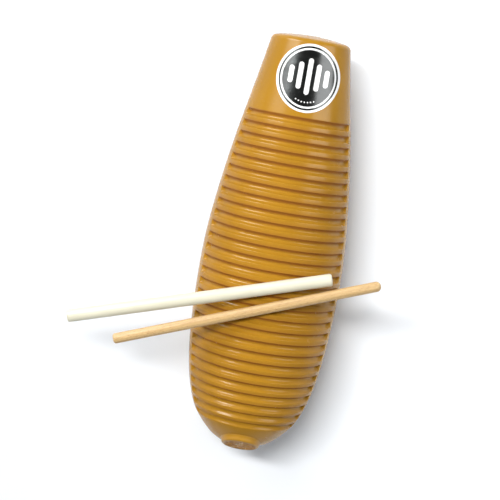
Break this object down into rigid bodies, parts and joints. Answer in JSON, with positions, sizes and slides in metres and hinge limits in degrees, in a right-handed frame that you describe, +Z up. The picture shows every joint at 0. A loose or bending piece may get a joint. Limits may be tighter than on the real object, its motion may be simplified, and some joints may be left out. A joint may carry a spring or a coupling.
{
  "type": "guiro with scrapers",
  "caption": "Hollow plastic guiro with a ribbed front, hand holes in its back and a round neck sticker, with a thick plastic and a thin wooden scraper lying across the ribs.",
  "frame": {"origin": "on the surface the guiro lies on, on its rest flat, half way along the body", "axes": "+Z up through the ribbed front, +Y along the body towards the neck end, +X across it towards the scrapers' rounded ends"},
  "size_m": [0.2584, 0.3726, 0.1327],
  "materials": {
    "shell_plastic": "satin mustard-tan moulded polyethylene",
    "label_white": "gloss white vinyl",
    "label_black": "gloss black print",
    "scraper_plastic": "ivory white extruded rod",
    "scraper_wood": "sanded pale hardwood"
  },
  "bodies": {
    "guiro_body": {"body_shell": "shell_plastic", "label_film": "label_white", "label_ring": "label_black", "label_disc": "label_black"},
    "thick_stick": {"thick_scraper": "scraper_plastic"},
    "thin_stick": {"thin_scraper": "scraper_wood"}
  },
  "joints": [
    {"name": "thick_stroke", "type": "slide", "parent": "guiro_body", "child": "thick_stick", "axis": [0, 1, 0], "range_m": [0, 0.12]},
    {"name": "thin_stroke", "type": "slide", "parent": "guiro_body", "child": "thin_stick", "axis": [0, 1, 0], "range_m": [-0.09, 0]}
  ]
}
